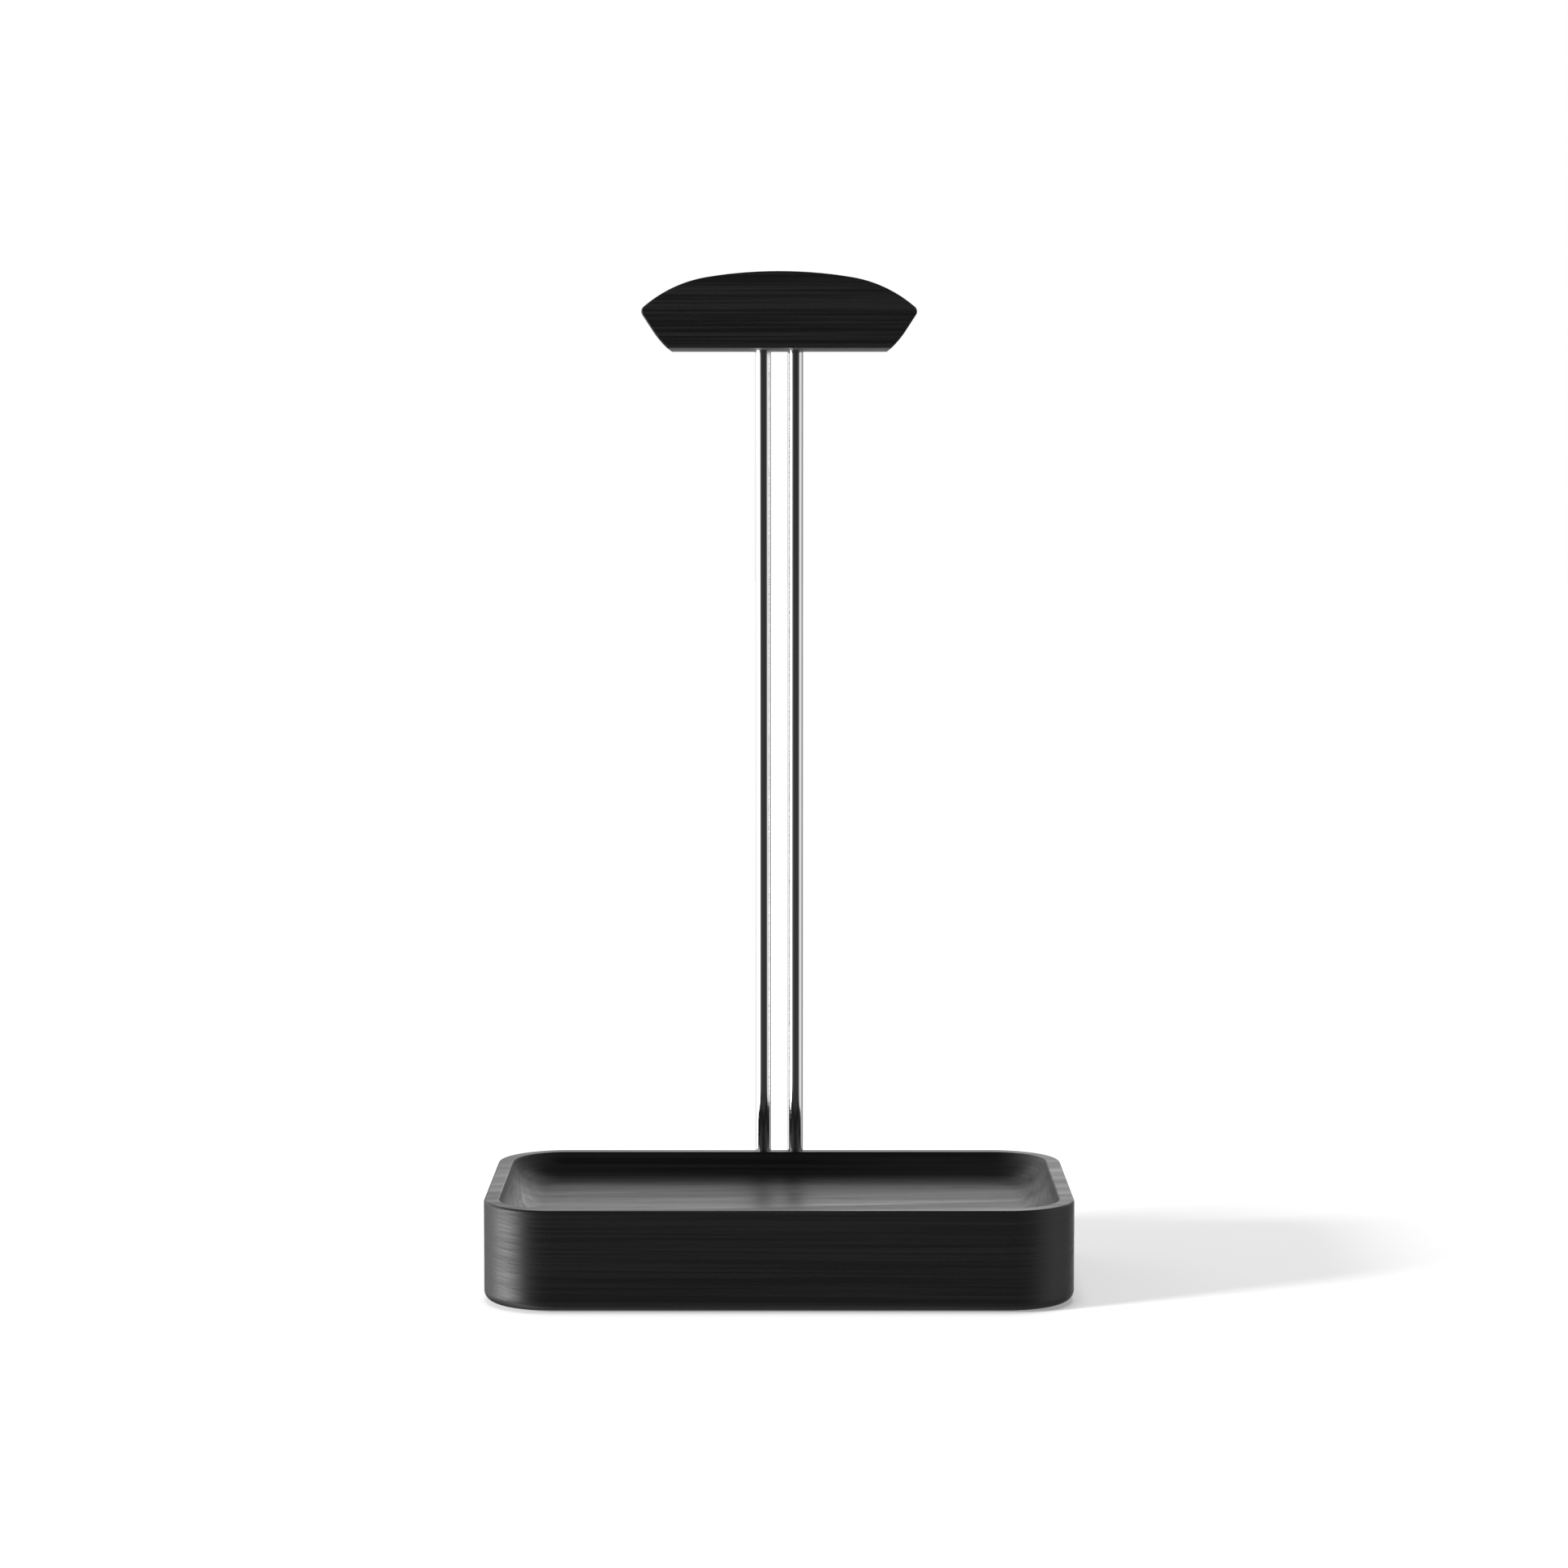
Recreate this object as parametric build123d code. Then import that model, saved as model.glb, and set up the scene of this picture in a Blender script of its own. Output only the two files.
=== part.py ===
from build123d import *
import os

# A free-standing headphone stand, in millimetres: a stained wooden tray, two polished rods
# that rise from the middle of its back edge, and a wooden cradle that holds the headband.
# +Z is up, -Y is the front, and the origin is the middle of the face that it rests on.

# Wooden base tray
BASE_WIDTH = 168.0
BASE_DEPTH = 102.0
BASE_HEIGHT = 28.75
BASE_CORNER_RADIUS = 20.0
BASE_BOTTOM_ROUND = 2.75
RIM_WIDTH = 4.3
RIM_OUTER_ROUND = 0.7
RIM_INNER_ROUND = 0.5
TRAY_DROP = 7.5  # from the rim down to the flat floor
TRAY_COVE_RADIUS = 10.4  # the walls of the tray are one concave arc, tangent to the floor

# Foot pad, let into the underside
PAD_INSET = 8.0
PAD_THICKNESS = 1.5
PAD_RECESS_DEPTH = 1.0
PAD_GAP = 0.15

# Steel ballast under the pad, with the corners' screw centres
BALLAST_WIDTH = 118.0
BALLAST_DEPTH = 62.0
BALLAST_THICKNESS = 5.0
BALLAST_CORNER_RADIUS = 6.0
BALLAST_GAP = 0.3
BALLAST_SCREW_X = 50.0
BALLAST_SCREW_Y = 22.0

# Wood screws that hold the ballast
WOOD_SCREW_LENGTH = 16.0
WOOD_SCREW_SHANK_RADIUS = 1.75
WOOD_SCREW_HOLE_RADIUS = 1.85  # in the plate
WOOD_SCREW_HEAD_RADIUS = 3.4
WOOD_SCREW_SEAT = 0.3  # the heads sit this far below the plate's face
WOOD_SCREW_POINT_LENGTH = 2.5
WOOD_SCREW_POINT_TAPER = 1.2
CROSS_SLOT_LENGTH = 3.4
CROSS_SLOT_WIDTH = 0.8
CROSS_SLOT_DEPTH = 1.3

# Rods: 3/16 inch bar, half let into the back face of the base
ROD_RADIUS = 2.38
ROD_SPACING = 9.66
ROD_FOOT_HEIGHT = 4.0  # above the wood's underside
ROD_CHAMFER = 0.4
STUD_RADIUS = 1.45
STUD_LENGTH = 8.0
STUD_CHAMFER = 0.35

# Clamp plate that holds the rods in their grooves
CLAMP_WIDTH = 42.0
CLAMP_HEIGHT = 19.0
CLAMP_THICKNESS = 4.6
CLAMP_CORNER_RADIUS = 4.0
CLAMP_EDGE_ROUND = 0.8
CLAMP_BOTTOM_HEIGHT = 3.5  # above the wood's underside
CLAMP_SCREW_X = 14.5
CLAMP_SCREW_Z = 5.5  # either side of the plate's middle

# M3 countersunk screws, with plain shanks in place of threads
M3_RADIUS = 1.45
M3_CLEARANCE_RADIUS = 1.7
M3_HEAD_RADIUS = 2.9
M3_LENGTH = 11.0
M3_SEAT = 0.2
M3_SOCKET_RADIUS = 1.15
M3_SOCKET_SIDES = 6
M3_SOCKET_DEPTH = 1.1

# Brass inserts, pressed into the wood
INSERT_RADIUS = 2.3
INSERT_LENGTH = 8.0
INSERT_BORE_RADIUS = 1.5
INSERT_FLAT_BOTTOM = 0.6  # free length under each screw's or stud's tip
INSERT_GROOVE_DEPTH = 0.25
INSERT_GROOVE_WIDTH = 0.9

# Cradle
CRADLE_BOTTOM_HEIGHT = 270.5  # above the wood's underside
CRADLE_HEIGHT = 22.3
CRADLE_TIP_WIDTH = 81.4  # between the two tips before they are rounded
CRADLE_TIP_HEIGHT = 10.9
CRADLE_TIP_ROUND = 1.8
CRADLE_CROWN_RADIUS = 130.0
CRADLE_CROWN_SPAN = 42.0
CRADLE_WAIST_WIDTH = 73.8
CRADLE_WAIST_HEIGHT = 5.05
CRADLE_BOTTOM_WIDTH = 65.4
CRADLE_DEPTH = 55.5
CRADLE_FRONT_Y = 16.0
CRADLE_EDGE_ROUND = 0.6

# Clearances
FIT_GAP = 0.05  # round rods, shanks and heads
CUT = 1.0  # how far a cutting tool runs past the face that it opens

# How cylinders and boxes stand on their own origin: centred, with their bottoms on it
STANDING = (Align.CENTER, Align.CENTER, Align.MIN)

# Heights and places that follow
WOOD_BOTTOM_Z = PAD_THICKNESS - PAD_RECESS_DEPTH
RIM_Z = WOOD_BOTTOM_Z + BASE_HEIGHT
TRAY_FLOOR_Z = RIM_Z - TRAY_DROP
BALLAST_BOTTOM_Z = PAD_THICKNESS
BALLAST_TOP_Z = BALLAST_BOTTOM_Z + BALLAST_THICKNESS
BACK_Y = BASE_DEPTH / 2
ROD_X = ROD_SPACING / 2
ROD_FOOT_Z = WOOD_BOTTOM_Z + ROD_FOOT_HEIGHT
CRADLE_BOTTOM_Z = WOOD_BOTTOM_Z + CRADLE_BOTTOM_HEIGHT
CLAMP_MIDDLE_Z = WOOD_BOTTOM_Z + CLAMP_BOTTOM_HEIGHT + CLAMP_HEIGHT / 2
BALLAST_SCREW_POINTS = [
    (x, y) for x in (-BALLAST_SCREW_X, BALLAST_SCREW_X) for y in (-BALLAST_SCREW_Y, BALLAST_SCREW_Y)
]
CLAMP_SCREW_POINTS = [
    (x, CLAMP_MIDDLE_Z + z) for x in (-CLAMP_SCREW_X, CLAMP_SCREW_X) for z in (-CLAMP_SCREW_Z, CLAMP_SCREW_Z)
]


def slab(width, depth, bottom_z, top_z, corner_radius):
    """A plate with rounded corners, centred on the Z axis."""
    outline = RectangleRounded(width, depth, corner_radius)
    return Pos(0, 0, bottom_z) * extrude(outline, amount=top_z - bottom_z)


def upright(radius, bottom_z, top_z):
    """A cylinder about the Z axis between two heights."""
    return Pos(0, 0, bottom_z) * Cylinder(radius, top_z - bottom_z, align=STANDING)


def facing_back(shape):
    """Turn a shape that points up so that it points to the back, and stand it on the back face."""
    return Pos(0, BACK_Y, 0) * Rot(-90, 0, 0) * shape


def bottom_edges(shape):
    """The outline of a shape's lowest flat face."""
    return shape.faces().sort_by(Axis.Z)[0].edges()


def countersunk_head(radius, shank_radius):
    """A 90 degree screw head, flat at height 0 and narrowing downwards to its shank."""
    height = radius - shank_radius
    return Pos(0, 0, -height / 2) * Cone(shank_radius, radius, height)


def make_base_tray():
    """The wooden base: a rounded block with a coved hollow on top and recesses for what it holds."""
    block = slab(BASE_WIDTH, BASE_DEPTH, WOOD_BOTTOM_Z, RIM_Z, BASE_CORNER_RADIUS)
    block = fillet(bottom_edges(block), BASE_BOTTOM_ROUND)

    # The cove leans outwards a little at the rim, so its vertical tangent lies inside the rim.
    cove_reach = (TRAY_COVE_RADIUS**2 - (TRAY_COVE_RADIUS - TRAY_DROP) ** 2) ** 0.5
    hidden_reach = TRAY_COVE_RADIUS - cove_reach
    inset = 2 * (RIM_WIDTH - hidden_reach)
    hollow = slab(
        BASE_WIDTH - inset,
        BASE_DEPTH - inset,
        TRAY_FLOOR_Z,
        RIM_Z + TRAY_COVE_RADIUS,
        BASE_CORNER_RADIUS - inset / 2,
    )
    hollow = fillet(bottom_edges(hollow), TRAY_COVE_RADIUS)
    tray = block - hollow

    rim = tray.faces().sort_by(Axis.Z)[-1]
    tray = fillet(rim.outer_wire().edges(), RIM_OUTER_ROUND)
    rim = tray.faces().sort_by(Axis.Z)[-1]
    tray = fillet(rim.inner_wires()[0].edges(), RIM_INNER_ROUND)

    pad_recess = slab(
        BASE_WIDTH - 2 * PAD_INSET,
        BASE_DEPTH - 2 * PAD_INSET,
        WOOD_BOTTOM_Z - CUT,
        PAD_THICKNESS,
        BASE_CORNER_RADIUS - PAD_INSET,
    )
    ballast_recess = slab(
        BALLAST_WIDTH + 2 * BALLAST_GAP,
        BALLAST_DEPTH + 2 * BALLAST_GAP,
        BALLAST_BOTTOM_Z - CUT,
        BALLAST_TOP_Z,
        BALLAST_CORNER_RADIUS + BALLAST_GAP,
    )
    tray -= pad_recess
    tray -= ballast_recess
    for x, y in BALLAST_SCREW_POINTS:
        tip_z = BALLAST_BOTTOM_Z + WOOD_SCREW_LENGTH
        tray -= Pos(x, y, 0) * upright(WOOD_SCREW_SHANK_RADIUS + FIT_GAP, BALLAST_TOP_Z - CUT, tip_z + CUT)
    for x in (-ROD_X, ROD_X):
        tray -= Pos(x, BACK_Y, 0) * upright(ROD_RADIUS + FIT_GAP, ROD_FOOT_Z, RIM_Z + CUT)
    for x, z in CLAMP_SCREW_POINTS:
        tray -= Pos(x, 0, z) * facing_back(upright(INSERT_RADIUS, -INSERT_LENGTH, CUT))
    return tray


def make_foot_pad():
    """A soft pad that fills the recess in the underside and stands a little proud of it."""
    return slab(
        BASE_WIDTH - 2 * (PAD_INSET + PAD_GAP),
        BASE_DEPTH - 2 * (PAD_INSET + PAD_GAP),
        0,
        PAD_THICKNESS,
        BASE_CORNER_RADIUS - PAD_INSET - PAD_GAP,
    )


def make_ballast_plate():
    """A steel plate that weighs the base down, with a countersunk hole near each corner."""
    plate = slab(BALLAST_WIDTH, BALLAST_DEPTH, BALLAST_BOTTOM_Z, BALLAST_TOP_Z, BALLAST_CORNER_RADIUS)
    for x, y in BALLAST_SCREW_POINTS:
        hole = upright(WOOD_SCREW_HOLE_RADIUS, BALLAST_BOTTOM_Z - CUT, BALLAST_TOP_Z + CUT)
        sink = Rot(180, 0, 0) * countersunk_head(WOOD_SCREW_HEAD_RADIUS + FIT_GAP, WOOD_SCREW_HOLE_RADIUS)
        seat = upright(WOOD_SCREW_HEAD_RADIUS + FIT_GAP, -CUT, WOOD_SCREW_SEAT)
        sink = Pos(0, 0, BALLAST_BOTTOM_Z + WOOD_SCREW_SEAT) * sink
        seat = Pos(0, 0, BALLAST_BOTTOM_Z) * seat
        plate -= Pos(x, y, 0) * (hole + sink + seat)
    return plate


def make_ballast_screws():
    """Four countersunk wood screws, heads down, with a cross slot in each head."""
    head_z = BALLAST_BOTTOM_Z + WOOD_SCREW_SEAT
    tip_z = BALLAST_BOTTOM_Z + WOOD_SCREW_LENGTH
    head = Rot(180, 0, 0) * countersunk_head(WOOD_SCREW_HEAD_RADIUS, WOOD_SCREW_SHANK_RADIUS)
    shank_bottom_z = head_z + WOOD_SCREW_HEAD_RADIUS - WOOD_SCREW_SHANK_RADIUS
    shank = upright(WOOD_SCREW_SHANK_RADIUS, shank_bottom_z, tip_z)
    shank = chamfer(shank.edges().sort_by(Axis.Z)[-1], WOOD_SCREW_POINT_LENGTH, WOOD_SCREW_POINT_TAPER)
    screw = Pos(0, 0, head_z) * head + shank
    slot = Box(CROSS_SLOT_LENGTH, CROSS_SLOT_WIDTH, CROSS_SLOT_DEPTH, align=STANDING)
    for turn in (0, 90):
        screw -= Pos(0, 0, head_z) * Rot(0, 0, turn) * slot
    return Compound(children=[Pos(x, y, 0) * screw for x, y in BALLAST_SCREW_POINTS])


def make_rod(x):
    """A straight polished rod with a turned-down stud on top."""
    bar = upright(ROD_RADIUS, ROD_FOOT_Z, CRADLE_BOTTOM_Z)
    bar = chamfer(bar.edges().sort_by(Axis.Z)[0], ROD_CHAMFER)
    stud = upright(STUD_RADIUS, CRADLE_BOTTOM_Z, CRADLE_BOTTOM_Z + STUD_LENGTH - INSERT_FLAT_BOTTOM)
    stud = chamfer(stud.edges().sort_by(Axis.Z)[-1], STUD_CHAMFER)
    return Pos(x, BACK_Y, 0) * (bar + stud)


def make_clamp_plate():
    """A metal plate on the back face, grooved for the rods and countersunk for its screws."""
    plate = extrude(RectangleRounded(CLAMP_WIDTH, CLAMP_HEIGHT, CLAMP_CORNER_RADIUS), amount=CLAMP_THICKNESS)
    plate = fillet(plate.faces().sort_by(Axis.Z)[-1].edges(), CLAMP_EDGE_ROUND)
    plate = Pos(0, 0, CLAMP_MIDDLE_Z) * facing_back(plate)
    for x in (-ROD_X, ROD_X):
        plate -= Pos(x, BACK_Y, 0) * upright(ROD_RADIUS + FIT_GAP, 0, RIM_Z)
    head_y = CLAMP_THICKNESS - M3_SEAT
    for x, z in CLAMP_SCREW_POINTS:
        hole = upright(M3_CLEARANCE_RADIUS, -CUT, CLAMP_THICKNESS + CUT)
        sink = Pos(0, 0, head_y) * countersunk_head(M3_HEAD_RADIUS + FIT_GAP, M3_CLEARANCE_RADIUS)
        seat = upright(M3_HEAD_RADIUS + FIT_GAP, head_y, CLAMP_THICKNESS + CUT)
        plate -= Pos(x, 0, z) * facing_back(hole + sink + seat)
    return plate


def make_clamp_screws():
    """Four countersunk M3 screws with hexagon sockets, through the clamp plate into the inserts."""
    head_y = CLAMP_THICKNESS - M3_SEAT
    head = Pos(0, 0, head_y) * countersunk_head(M3_HEAD_RADIUS, M3_RADIUS)
    shank_top = head_y - (M3_HEAD_RADIUS - M3_RADIUS)
    shank = upright(M3_RADIUS, head_y - M3_LENGTH, shank_top)
    shank = chamfer(shank.edges().sort_by(Axis.Z)[0], STUD_CHAMFER)
    socket = extrude(RegularPolygon(M3_SOCKET_RADIUS, M3_SOCKET_SIDES), amount=M3_SOCKET_DEPTH)
    screw = head + shank - Pos(0, 0, head_y - M3_SOCKET_DEPTH) * socket
    return Compound(children=[Pos(x, 0, z) * facing_back(screw) for x, z in CLAMP_SCREW_POINTS])


def make_insert():
    """A brass insert that stands up from height 0, with two barb grooves and a closed end."""
    body = upright(INSERT_RADIUS, 0, INSERT_LENGTH)
    body -= upright(INSERT_BORE_RADIUS, -CUT, INSERT_LENGTH - INSERT_FLAT_BOTTOM / 2)
    groove_radius = INSERT_RADIUS - INSERT_GROOVE_DEPTH
    for middle in (INSERT_LENGTH / 3, 2 * INSERT_LENGTH / 3):
        low = middle - INSERT_GROOVE_WIDTH / 2
        high = middle + INSERT_GROOVE_WIDTH / 2
        body -= upright(INSERT_RADIUS + CUT, low, high) - upright(groove_radius, low, high)
    return body


def make_clamp_inserts():
    """Four inserts in the back face of the base, with their mouths flush with it."""
    insert = Rot(180, 0, 0) * make_insert()
    return Compound(children=[Pos(x, 0, z) * facing_back(insert) for x, z in CLAMP_SCREW_POINTS])


def make_cradle_inserts():
    """Two inserts in the underside of the cradle, flush with it and hidden by the rods' shoulders."""
    return Compound(children=[Pos(x, BACK_Y, CRADLE_BOTTOM_Z) * make_insert() for x in (-ROD_X, ROD_X)])


def crown_height(x):
    """How high the crown's arc is above the cradle's bottom, at a distance x from the middle."""
    return CRADLE_HEIGHT - CRADLE_CROWN_RADIUS + (CRADLE_CROWN_RADIUS**2 - x**2) ** 0.5


def cradle_outline():
    """The cradle seen from the front: a crowned top, two tips, and sides that lean in to a flat bottom."""
    crown_x = CRADLE_CROWN_SPAN / 2
    crown_end = (crown_x, crown_height(crown_x))
    tip = (CRADLE_TIP_WIDTH / 2, CRADLE_TIP_HEIGHT)
    waist = (CRADLE_WAIST_WIDTH / 2, CRADLE_WAIST_HEIGHT)
    with BuildSketch() as sketch:
        with BuildLine():
            crown = ThreePointArc((0, CRADLE_HEIGHT), (crown_x / 2, crown_height(crown_x / 2)), crown_end)
            TangentArc(crown_end, tip, tangent=crown % 1)
            side = Line(tip, waist)
            TangentArc(waist, (CRADLE_BOTTOM_WIDTH / 2, 0), tangent=side % 1)
            Line((CRADLE_BOTTOM_WIDTH / 2, 0), (0, 0))
            Line((0, 0), (0, CRADLE_HEIGHT))
        make_face()
        mirror(about=Plane.YZ)
        along_width = sketch.vertices().sort_by(Axis.X)
        fillet([along_width[0], along_width[-1]], CRADLE_TIP_ROUND)
    return sketch.sketch


def make_cradle():
    """The wooden cradle, with all its edges eased and two holes underneath for the inserts."""
    front = Plane(origin=(0, CRADLE_FRONT_Y, CRADLE_BOTTOM_Z), x_dir=(1, 0, 0), z_dir=(0, -1, 0))
    cradle = extrude(front * cradle_outline(), amount=-CRADLE_DEPTH)
    cradle = fillet(cradle.edges(), CRADLE_EDGE_ROUND)
    for x in (-ROD_X, ROD_X):
        hole = upright(INSERT_RADIUS, CRADLE_BOTTOM_Z - CUT, CRADLE_BOTTOM_Z + INSERT_LENGTH)
        cradle -= Pos(x, BACK_Y, 0) * hole
    return cradle


PIECES = {
    "base_tray": make_base_tray(),
    "foot_pad": make_foot_pad(),
    "ballast_plate": make_ballast_plate(),
    "ballast_screws": make_ballast_screws(),
    "left_rod": make_rod(-ROD_X),
    "right_rod": make_rod(ROD_X),
    "clamp_plate": make_clamp_plate(),
    "clamp_screws": make_clamp_screws(),
    "clamp_inserts": make_clamp_inserts(),
    "cradle": make_cradle(),
    "cradle_inserts": make_cradle_inserts(),
}

os.makedirs("parts", exist_ok=True)
for name, piece in PIECES.items():
    export_step(piece, f"parts/{name}.step")
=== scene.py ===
import math

import bpy
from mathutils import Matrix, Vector

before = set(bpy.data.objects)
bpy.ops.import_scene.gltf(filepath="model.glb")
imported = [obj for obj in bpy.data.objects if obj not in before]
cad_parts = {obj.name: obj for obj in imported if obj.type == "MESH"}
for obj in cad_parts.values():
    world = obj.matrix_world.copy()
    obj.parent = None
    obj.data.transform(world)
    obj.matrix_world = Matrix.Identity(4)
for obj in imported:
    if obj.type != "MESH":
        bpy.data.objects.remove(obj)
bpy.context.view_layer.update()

MM = 0.001

# Camera: a little lower than the cradle, looking slightly down on the tray
CAMERA_PLACE = (1.4 * MM, -1210.4 * MM, 244.5 * MM)
CAMERA_PITCH = math.radians(4.70)
CAMERA_LENS = 96.25
SENSOR_WIDTH = 36.0

# Floor
FLOOR_HALF = 6.0
FLOOR_TONE = 0.5
FLOOR_ROUGHNESS = 0.9
FLOOR_GLOW = 0.3  # keeps the shade where the base meets the floor from getting too dark

# Staves that the wood is glued up from
STAVE_WIDTH = 12.85 * MM
STAVE_EDGE = 6.35 * MM  # a joint lies this far in front of the middle
JOINT_SHARE = 0.02  # of a stave's width, on each side of the joint

# Layers of the wood's grain: cells of noise per metre along X, Y and Z
WANDER = (1.6, 9.0, 9.0)
WANDER_REACH = 4 * MM  # how far the growth rings drift with it
FIBRE_LEVEL = (12.0, 1400.0, 1400.0)
FIBRE_UPRIGHT = (12.0, 50.0, 1400.0)
COARSE_LEVEL = (5.0, 260.0, 260.0)
COARSE_UPRIGHT = (5.0, 12.0, 300.0)
BANDS = (4.0, 110.0, 110.0)
PORES = (90.0, 2600.0, 2600.0)
COARSE_ROUGHNESS = 0.55
FIBRE_CONTRAST = (0.36, 0.64)
PORES_BEGIN = (0.68, 0.74)
STREAK = {"fibre": 0.35, "coarse": 0.65}

# Through a year, 0 to 1: the late wood darkens over the first span and ends over the second
LATE_WOOD_GROWS = (0.45, 0.88)
LATE_WOOD_ENDS = (1.0, 0.9)

# What each feature of the wood adds to a quality: a factor, or the feature's span and what that span
# maps to. The tone runs from 0, the darkest stain, to 1, the lightest.
TONE = {
    "late_wood": -0.35,
    "streak": (0.25, 0.75, 0.0, 1.0),
    "year": (0.0, 1.0, -0.1, 0.3),
    "stave": (0.0, 1.0, -0.15, 0.15),
    "joint": -0.3,
}
ROUGHNESS = {
    "streak": (0.2, 0.8, -0.06, 0.06),
    "year": (0.0, 1.0, -0.05, 0.05),
    "late_wood": -0.06,
    "pores": 0.16,
    "stave": (0.0, 1.0, -0.04, 0.04),
}
SHINE = {
    "streak": (0.3, 0.7, -0.1, 0.1),
    "stave": (0.0, 1.0, -0.17, 0.17),
    "bands": (0.35, 0.65, -0.12, 0.12),
    "year": (0.0, 1.0, -0.06, 0.06),
    "joint": -0.12,
    "pores": -0.12,
}
RELIEF = {"streak": 0.7, "late_wood": 1.0, "pores": -0.4, "joint": -0.6}
TONE_BASE = 0.05
ROUGHNESS_BASE = 0.49
SHINE_BASE = 0.5

# Upright faces are sanded along the grain, so the grain does less there. Each is a span of the surface's
# upward slope, from 0 upright to 1 level, and the factor at either end of it.
ROUGHNESS_BY_SLOPE = (0.15, 0.5, 0.5, 1.0)
SHINE_BY_SLOPE = (0.3, 0.85, 0.12, 1.0)
BUMP_BY_SLOPE = (0.15, 0.5, 0.2, 0.32)
RELIEF_DEPTH = 0.02 * MM

# The wood's stain, as linear reflectance
STAIN = 0.0117
STAIN_SPREAD = 0.0021
STAIN_WARMTH = (1.0, 0.985, 0.97)
WORN_WOOD = (0.03, 0.029, 0.028)
WORN_WOOD_WIDTH = 0.9 * MM
WORN_WOOD_SHARE = 0.4
WORN_WOOD_PATCHES = (0.35, 0.7)  # where the coarse grain lets the edges wear

# What is reflected near the horizon, by azimuth in degrees: 0 is the front, positive to the right
STUDIO_ROUND = [
    (-180, 0.9),
    (-172, 0.5),
    (-150, 0.55),
    (-132, 1.1),
    (-112, 2.0),
    (-98, 8.5),
    (-78, 15.0),
    (-65, 12.5),
    (-57, 3.6),
    (-50, 0.9),
    (-43, 0.2),
    (-22, 0.045),
    (40, 0.04),
    (54, 0.2),
    (64, 0.95),
    (95, 0.9),
    (107, 0.35),
    (140, 0.35),
    (160, 1.0),
    (180, 0.9),
]
BRIGHTEST = 16.0

# The studio's other spans are parts of the unit vector toward a point in it: up, right, back or front
ABOVE_SOFTBOXES = 1.0
SOFTBOX_TOPS = (0.04, 0.19)
CEILING = 0.02
CEILING_STARTS = (0.36, 0.58)
BACKDROP_LEAN = 0.45
BACKDROP_GAIN = 2.4
BACKDROP_SIDES = (0.2, 0.6)
BACKDROP_RISES = (0.03, 0.2)
HIGH_PANELS = 0.6
HIGH_PANELS_RISE = (0.3, 0.36)
HIGH_PANELS_END = (0.6, 0.5)
HIGH_PANELS_START = (0.2, 0.45)
HIGH_PANELS_FRONT = (0.0, 0.3)
GROUND = 0.14
GROUND_SHARE = 0.2
GROUND_FADES = (-0.42, -0.22)


def colour(red, green, blue):
    return (red, green, blue, 1.0)


def grey(level):
    return colour(level, level, level)


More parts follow.
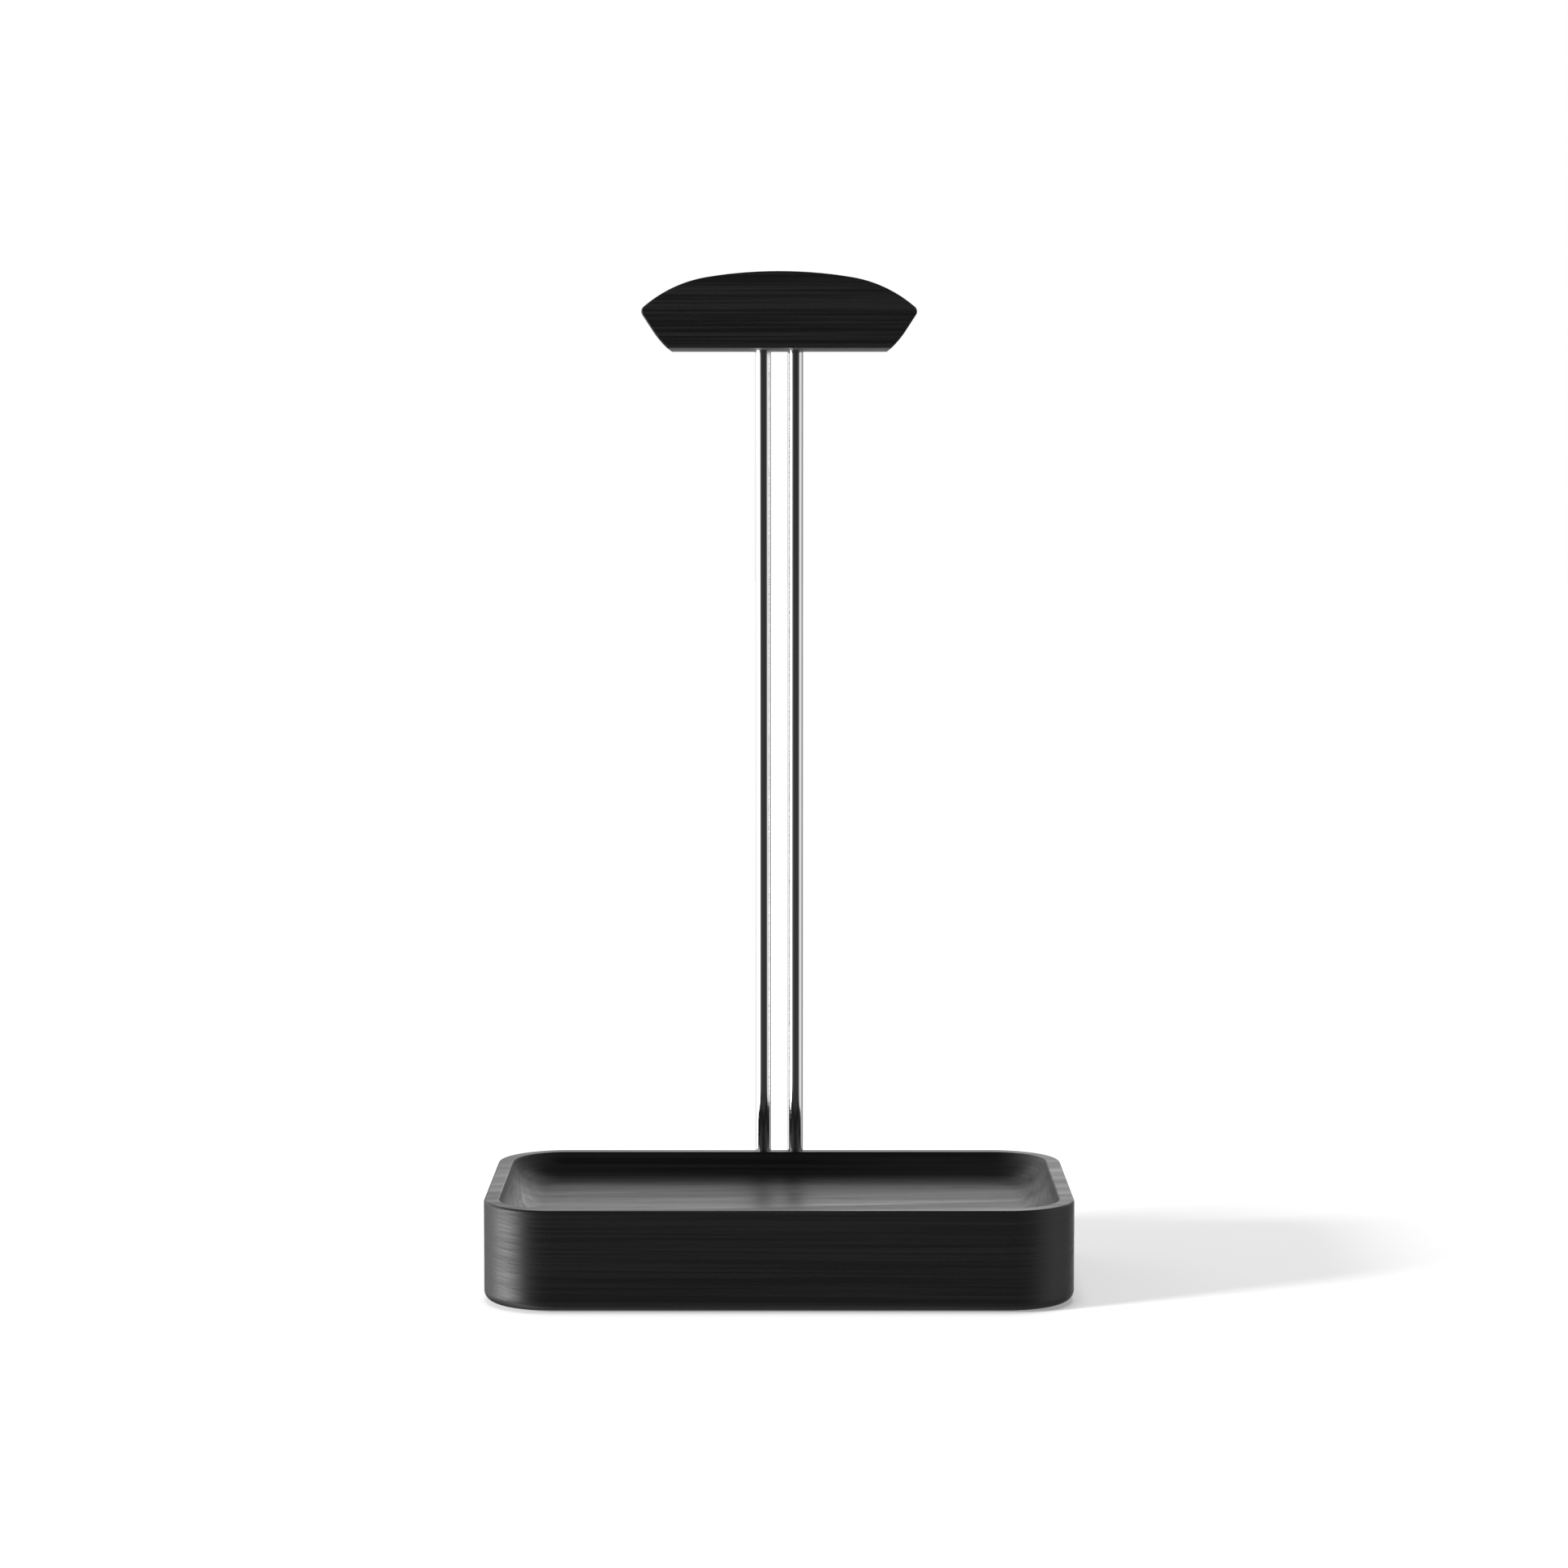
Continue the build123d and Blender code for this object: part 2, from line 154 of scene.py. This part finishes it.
class Graph:
    """Adds nodes to a node tree and links them, so that a material reads as a list of steps."""

    def __init__(self, tree):
        self.tree = tree
        tree.nodes.clear()

    def add(self, kind, inputs=None, **settings):
        made = self.tree.nodes.new(kind)
        for name, value in settings.items():
            setattr(made, name, value)
        for name, value in (inputs or {}).items():
            if isinstance(value, bpy.types.NodeSocket):
                self.tree.links.new(value, made.inputs[name])
            else:
                made.inputs[name].default_value = value
        return made

    def math(self, operation, first, second=0.0):
        return self.add("ShaderNodeMath", {0: first, 1: second}, operation=operation).outputs[0]

    def vector(self, operation, first, second):
        made = self.add("ShaderNodeVectorMath", {0: first, 1: second}, operation=operation)
        return made.outputs["Vector"]

    def axis(self, vector, letter):
        return self.add("ShaderNodeSeparateXYZ", {0: vector}).outputs[letter]

    def mix(self, factor, first, second):
        """A number between two numbers."""
        made = self.add("ShaderNodeMix", {"Factor": factor, "A": first, "B": second}, data_type="FLOAT")
        return made.outputs["Result"]

    def blend(self, factor, first, second):
        """A colour between two colours. The node's sockets for colours are inputs 6 and 7 and output 2."""
        made = self.add("ShaderNodeMix", {0: factor, 6: first, 7: second}, data_type="RGBA")
        return made.outputs[2]

    def between(self, value, low, high, to_low=0.0, to_high=1.0):
        """A value's range mapped smoothly onto another."""
        inputs = {"Value": value, "From Min": low, "From Max": high, "To Min": to_low, "To Max": to_high}
        return self.add("ShaderNodeMapRange", inputs, interpolation_type="SMOOTHSTEP").outputs["Result"]

    def add_up(self, features, shares, total=0.0):
        """A total to which each feature adds its share, in the form that TONE shows."""
        for name, share in shares.items():
            if isinstance(share, tuple):
                part = self.between(features[name], *share)
            else:
                part = self.math("MULTIPLY", features[name], share)
            total = self.math("ADD", total, part)
        return total

    def noise(self, place, scale=1.0, detail=2.0, roughness=0.5, output="Fac"):
        inputs = {"Vector": place, "Scale": scale, "Detail": detail, "Roughness": roughness}
        return self.add("ShaderNodeTexNoise", inputs).outputs[output]

    def one_in_each(self, value):
        """A random number from 0 to 1 for each whole number that the value passes."""
        inputs = {"W": self.math("FLOOR", value)}
        return self.add("ShaderNodeTexWhiteNoise", inputs, noise_dimensions="1D").outputs["Value"]

    def place(self, stretch=(1.0, 1.0, 1.0)):
        """The row frame's coordinates in metres, multiplied axis by axis."""
        return self.vector("MULTIPLY", self.add("ShaderNodeTexCoord").outputs["Object"], stretch)

    def normal(self):
        return self.add("ShaderNodeNewGeometry").outputs["Normal"]

    def edge_mask(self, radius, low, high):
        """Near 1 along convex and concave edges, and 0 on open faces."""
        rounded = self.add("ShaderNodeBevel", {"Radius": radius}, samples=6).outputs["Normal"]
        inputs = {0: rounded, 1: self.normal()}
        same = self.add("ShaderNodeVectorMath", inputs, operation="DOT_PRODUCT").outputs["Value"]
        return self.between(self.math("SUBTRACT", 1.0, same), low, high)

    def bump(self, height, distance, strength):
        inputs = {"Height": height, "Distance": distance, "Strength": strength}
        return self.add("ShaderNodeBump", inputs).outputs["Normal"]

    def surface(self, inputs):
        shader = self.add("ShaderNodeBsdfPrincipled", inputs)
        output = self.add("ShaderNodeOutputMaterial")
        self.tree.links.new(shader.outputs[0], output.inputs["Surface"])


def material(name):
    made = bpy.data.materials.new(name)
    made.use_nodes = True
    return made, Graph(made.node_tree)


def stave_features(g):
    """Which stave a point lies in, as a random number, and how near it is to a joint."""
    staves = g.math("DIVIDE", g.math("ADD", g.axis(g.place(), "Y"), STAVE_EDGE), STAVE_WIDTH)
    joint = g.between(g.math("PINGPONG", staves, 0.5), JOINT_SHARE, 0.0)
    return {"stave": g.one_in_each(staves), "joint": joint}


def ring_features(g, pith, tilt, ring_width):
    """Growth rings round a centre line: each darkens through its year and ends sharply."""
    shift = g.vector("SUBTRACT", g.noise(g.place(WANDER), output="Color"), (0.5, 0.5, 0.5))
    shift = g.vector("MULTIPLY", shift, (0.0, WANDER_REACH, WANDER_REACH))
    place = g.vector("ADD", g.place(), shift)
    across = g.math("SUBTRACT", g.axis(place, "Y"), pith[0])
    up = g.math("SUBTRACT", g.axis(place, "Z"), pith[1])
    up = g.math("ADD", up, g.math("MULTIPLY", g.axis(place, "X"), tilt))
    radius = g.math("SQRT", g.math("ADD", g.math("POWER", across, 2.0), g.math("POWER", up, 2.0)))
    rings = g.math("DIVIDE", radius, ring_width)
    phase = g.math("FRACT", rings)
    late_wood = g.math("MULTIPLY", g.between(phase, *LATE_WOOD_GROWS), g.between(phase, *LATE_WOOD_ENDS))
    return {"late_wood": late_wood, "year": g.one_in_each(rings)}


def grain_features(g, flat):
    """Lines along X in several widths. On upright faces they lie in level layers, round the corners too."""
    fibre = g.mix(flat, g.noise(g.place(FIBRE_UPRIGHT)), g.noise(g.place(FIBRE_LEVEL)))
    coarse = g.mix(
        flat,
        g.noise(g.place(COARSE_UPRIGHT), detail=3.0, roughness=COARSE_ROUGHNESS),
        g.noise(g.place(COARSE_LEVEL), detail=3.0, roughness=COARSE_ROUGHNESS),
    )
    lines = {"fibre": g.between(fibre, *FIBRE_CONTRAST), "coarse": coarse}
    return {
        "coarse": coarse,
        "streak": g.add_up(lines, STREAK),
        "pores": g.between(g.noise(g.place(PORES), detail=1.0), *PORES_BEGIN),
        "bands": g.noise(g.place(BANDS)),
    }


def stained_wood(name, pith, tilt, ring_width, figure, flat_faces):
    """Black-stained open-pored wood with its grain along X, under satin lacquer.

    It is glued up from narrow staves side by side in Y. pith is the growth rings' centre line (Y, Z)
    at X = 0, tilt is how far it drifts per metre of X, and figure is how strongly the grain shows.
    flat_faces is the upward slope, from and to, where the grain stops lying in level layers."""
    made, g = material(name)
    slope = g.math("ABSOLUTE", g.axis(g.normal(), "Z"))
    features = stave_features(g)
    features.update(ring_features(g, pith, tilt, ring_width))
    features.update(grain_features(g, g.between(slope, *flat_faces)))

    darker = grey(STAIN - STAIN_SPREAD * figure)
    lighter = colour(*[(STAIN + STAIN_SPREAD * figure) * warmth for warmth in STAIN_WARMTH])
    stain = g.blend(g.add_up(features, TONE, TONE_BASE), darker, lighter)
    worn = g.edge_mask(WORN_WOOD_WIDTH, low=0.05, high=0.5)
    worn = g.math("MULTIPLY", worn, g.between(features["coarse"], *WORN_WOOD_PATCHES))
    stain = g.blend(g.math("MULTIPLY", worn, WORN_WOOD_SHARE), stain, colour(*WORN_WOOD))

    uneven = g.math("MULTIPLY", g.add_up(features, ROUGHNESS), g.between(slope, *ROUGHNESS_BY_SLOPE))
    # The lacquer sinks more in some grain than in other, and that changes how strongly it mirrors.
    sunken = g.math("MULTIPLY", g.add_up(features, SHINE), g.between(slope, *SHINE_BY_SLOPE))
    relief = g.add_up(features, RELIEF)
    g.surface(
        {
            "Base Color": stain,
            "Roughness": g.math("ADD", uneven, ROUGHNESS_BASE),
            "IOR": 1.5,
            "Specular IOR Level": g.math("ADD", sunken, SHINE_BASE),
            "Normal": g.bump(relief, RELIEF_DEPTH * figure, g.between(slope, *BUMP_BY_SLOPE)),
        }
    )
    return made


def polished_steel():
    """Bright drawn bar: a near mirror with faint lines along it and soft smears."""
    made, g = material("polished_steel_look")
    lines = g.noise(g.place((2600.0, 2600.0, 9.0)), detail=3.0)
    smear = g.noise(g.place((60.0, 60.0, 22.0)))
    shares = {"smear": (0.3, 0.7, 0.04, 0.08), "lines": 0.03}
    roughness = g.add_up({"smear": smear, "lines": lines}, shares)
    g.surface(
        {
            "Base Color": g.blend(smear, colour(0.74, 0.74, 0.75), colour(0.82, 0.82, 0.825)),
            "Metallic": 1.0,
            "Roughness": roughness,
            "Normal": g.bump(lines, distance=0.004 * MM, strength=0.5),
        }
    )
    return made


def rolled_steel():
    """Bare sheet steel with rolling lines along X and cloudy scale."""
    made, g = material("rolled_steel_look")
    lines = g.noise(g.place((30.0, 1400.0, 1400.0)), detail=4.0)
    clouds = g.noise(g.place(), scale=55.0, detail=4.0)
    scale = g.blend(clouds, colour(0.26, 0.26, 0.27), colour(0.42, 0.42, 0.43))
    worn = g.edge_mask(radius=0.6 * MM, low=0.05, high=0.5)
    shares = {"clouds": (0.3, 0.7, 0.3, 0.42), "lines": 0.1}
    roughness = g.add_up({"clouds": clouds, "lines": lines}, shares)
    g.surface(
        {
            "Base Color": g.blend(worn, scale, colour(0.6, 0.6, 0.61)),
            "Metallic": 1.0,
            "Roughness": roughness,
            "Normal": g.bump(lines, distance=0.01 * MM, strength=0.6),
        }
    )
    return made


def powder_coat():
    """Fine black powder coat, rubbed brighter along the edges."""
    made, g = material("powder_coat_look")
    peel = g.noise(g.place(), scale=1500.0, detail=3.0)
    clouds = g.noise(g.place(), scale=130.0)
    coat = g.blend(clouds, colour(0.008, 0.008, 0.0085), colour(0.014, 0.014, 0.0145))
    worn = g.math("MULTIPLY", g.edge_mask(radius=0.5 * MM, low=0.08, high=0.6), clouds)
    g.surface(
        {
            "Base Color": g.blend(worn, coat, grey(0.08)),
            "Roughness": g.between(peel, low=0.3, high=0.7, to_low=0.42, to_high=0.58),
            "IOR": 1.45,
            "Normal": g.bump(peel, distance=0.03 * MM, strength=0.7),
        }
    )
    return made


def plated_screw():
    """Dark zinc plate with small cloudy changes and bright rubbed edges."""
    made, g = material("plated_screw_look")
    clouds = g.noise(g.place(), scale=700.0, detail=3.0)
    plate = g.blend(clouds, colour(0.09, 0.09, 0.095), colour(0.19, 0.19, 0.195))
    worn = g.edge_mask(radius=0.25 * MM, low=0.1, high=0.6)
    g.surface(
        {
            "Base Color": g.blend(worn, plate, colour(0.45, 0.45, 0.46)),
            "Metallic": 1.0,
            "Roughness": g.between(clouds, low=0.3, high=0.7, to_low=0.26, to_high=0.4),
            "Normal": g.bump(clouds, distance=0.01 * MM, strength=0.5),
        }
    )
    return made


def machined_brass():
    """Turned brass, a little dulled between its bright edges."""
    made, g = material("machined_brass_look")
    clouds = g.noise(g.place(), scale=500.0, detail=3.0)
    turning = g.noise(g.place(), scale=5200.0, detail=1.0)
    dull = g.blend(clouds, colour(0.5, 0.33, 0.1), colour(0.68, 0.49, 0.19))
    worn = g.edge_mask(radius=0.2 * MM, low=0.1, high=0.6)
    g.surface(
        {
            "Base Color": g.blend(worn, dull, colour(0.85, 0.66, 0.32)),
            "Metallic": 1.0,
            "Roughness": g.between(clouds, low=0.3, high=0.7, to_low=0.2, to_high=0.34),
            "Normal": g.bump(turning, distance=0.005 * MM, strength=0.5),
        }
    )
    return made


def pad_rubber():
    """Matt black rubber sheet with a fine pebbled face."""
    made, g = material("pad_rubber_look")
    pebble = g.add("ShaderNodeTexVoronoi", {"Vector": g.place(), "Scale": 1100.0}).outputs["Distance"]
    clouds = g.noise(g.place(), scale=40.0, detail=4.0)
    g.surface(
        {
            "Base Color": g.blend(clouds, grey(0.012), grey(0.026)),
            "Roughness": g.between(pebble, low=0.1, high=0.7, to_low=0.85, to_high=0.66),
            "Normal": g.bump(pebble, distance=0.12 * MM, strength=0.7),
        }
    )
    return made


def dress(node_name, look):
    """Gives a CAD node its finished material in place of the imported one."""
    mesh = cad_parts[node_name].data
    mesh.materials.clear()
    mesh.materials.append(look)


def studio_floor():
    """A plain pale floor. Mirror-like surfaces reflect the studio round it instead."""
    mesh = bpy.data.meshes.new("studio_floor")
    signs = [(-1, -1), (1, -1), (1, 1), (-1, 1)]
    mesh.from_pydata([(x * FLOOR_HALF, y * FLOOR_HALF, 0) for x, y in signs], [], [(0, 1, 2, 3)])
    made, g = material("pale_floor")
    g.surface(
        {
            "Base Color": grey(FLOOR_TONE),
            "Roughness": FLOOR_ROUGHNESS,
            "Specular IOR Level": 0.0,
            "Emission Color": grey(1.0),
            "Emission Strength": FLOOR_GLOW,
        }
    )
    mesh.materials.append(made)
    floor = bpy.data.objects.new("studio_floor", mesh)
    bpy.context.scene.collection.objects.link(floor)
    floor.visible_glossy = False
    return floor


def distant_light(name, azimuth, elevation, spread, strength):
    """A soft lamp far away. Azimuth 0 is the front, positive to the right. Glossy surfaces don't see it."""
    data = bpy.data.lights.new(name, "SUN")
    data.angle = math.radians(spread)
    data.energy = strength
    light = bpy.data.objects.new(name, data)
    turn, rise = math.radians(azimuth), math.radians(elevation)
    toward = Vector((math.sin(turn) * math.cos(rise), -math.cos(turn) * math.cos(rise), math.sin(rise)))
    light.rotation_euler = toward.to_track_quat("Z", "Y").to_euler()
    light.visible_glossy = False
    bpy.context.scene.collection.objects.link(light)
    return light


def light_alone(light, lit):
    """Makes a light fall on one object and on nothing else."""
    receivers = bpy.data.collections.new(f"lit_by_{light.name}")
    receivers.objects.link(lit)
    light.light_linking.receiver_collection = receivers


def studio_round(g, right, front):
    """The level near the horizon, from STUDIO_ROUND."""
    azimuth = g.math("ARCTAN2", right, front)
    turn = g.math("ADD", g.math("DIVIDE", azimuth, 2 * math.pi), 0.5)
    ramp = g.add("ShaderNodeValToRGB", {"Fac": turn})
    elements = ramp.color_ramp.elements
    while len(elements) < len(STUDIO_ROUND):
        elements.new(0.5)
    for element, (degrees, level) in zip(elements, STUDIO_ROUND):
        element.position = degrees / 360 + 0.5
        element.color = grey(level / BRIGHTEST)
    return g.math("MULTIPLY", ramp.outputs["Color"], BRIGHTEST)


def high_panels(g, right, front, height):
    """Panels at the front's left and right. They give the top faces a sheen when seen from behind."""
    upright = g.math("MULTIPLY", g.between(height, *HIGH_PANELS_RISE), g.between(height, *HIGH_PANELS_END))
    sideways = g.between(g.math("ABSOLUTE", right), *HIGH_PANELS_START)
    panels = g.math("MULTIPLY", g.math("MULTIPLY", upright, sideways), g.between(front, *HIGH_PANELS_FRONT))
    return g.math("MULTIPLY", panels, HIGH_PANELS)


def studio_world():
    """What the glossy surfaces reflect: a white backdrop, softboxes at the sides and a dark front.

    The camera itself sees plain white."""
    world = bpy.data.worlds.new("studio")
    bpy.context.scene.world = world
    world.use_nodes = True
    g = Graph(world.node_tree)
    toward = g.add("ShaderNodeTexCoord").outputs["Generated"]
    right, back, height = [g.axis(toward, letter) for letter in "XYZ"]
    front = g.math("MULTIPLY", back, -1.0)
    level = studio_round(g, right, front)
    # The softboxes stand low, so that they brighten upright faces and don't wash out the tops.
    capped = g.math("MINIMUM", level, ABOVE_SOFTBOXES)
    level = g.mix(g.between(height, *SOFTBOX_TOPS), level, capped)
    ground = g.math("ADD", g.math("MULTIPLY", level, GROUND_SHARE), GROUND)
    level = g.mix(g.between(height, *GROUND_FADES), ground, level)
    backdrop = g.math("MULTIPLY", g.between(back, *BACKDROP_SIDES), g.between(height, *BACKDROP_RISES))
    level = g.math("MULTIPLY", level, g.mix(backdrop, 1.0, BACKDROP_GAIN))
    # The backdrop curves up overhead, so it stays bright to a greater height than the softboxes do.
    leaning = g.math("ADD", height, g.math("MULTIPLY", front, BACKDROP_LEAN))
    studio = g.mix(g.between(leaning, *CEILING_STARTS), level, CEILING)
    studio = g.math("ADD", studio, high_panels(g, right, front, height))
    seen = g.add("ShaderNodeLightPath").outputs["Is Camera Ray"]
    inputs = {"Color": grey(1.0), "Strength": g.mix(seen, studio, 1.0)}
    background = g.add("ShaderNodeBackground", inputs)
    output = g.add("ShaderNodeOutputWorld")
    g.tree.links.new(background.outputs[0], output.inputs["Surface"])


def photographer():
    data = bpy.data.cameras.new("camera")
    data.lens = CAMERA_LENS
    data.sensor_width = SENSOR_WIDTH
    camera = bpy.data.objects.new("camera", data)
    camera.location = CAMERA_PLACE
    camera.rotation_euler = (math.pi / 2 - CAMERA_PITCH, 0.0, 0.0)
    bpy.context.scene.collection.objects.link(camera)
    bpy.context.scene.camera = camera


tray_wood = stained_wood(
    "tray_wood",
    pith=(55 * MM, -600 * MM),
    tilt=0.008,
    ring_width=1.15 * MM,
    figure=1.3,
    flat_faces=(0.9, 0.98),
)
cradle_wood = stained_wood(
    "cradle_wood",
    pith=(30 * MM, 60 * MM),
    tilt=-0.01,
    ring_width=1.1 * MM,
    figure=2.4,
    flat_faces=(0.4, 0.6),
)
steel = polished_steel()
brass = machined_brass()
plated = plated_screw()
LOOKS = {
    "base_tray": tray_wood,
    "cradle": cradle_wood,
    "left_rod": steel,
    "right_rod": steel,
    "ballast_plate": rolled_steel(),
    "ballast_screws": plated,
    "clamp_plate": powder_coat(),
    "clamp_screws": plated,
    "clamp_inserts": brass,
    "cradle_inserts": brass,
    "foot_pad": pad_rubber(),
}
for node_name, look in LOOKS.items():
    dress(node_name, look)

bpy.context.scene.view_settings.view_transform = "Standard"
floor = studio_floor()
studio_world()
distant_light("overhead", azimuth=0.0, elevation=90.0, spread=20.0, strength=1.9)
# The low light that throws the long shadow falls on the floor alone.
shadow_light = distant_light("shadow_light", azimuth=-65.0, elevation=12.0, spread=13.0, strength=10.6)
light_alone(shadow_light, floor)
photographer()
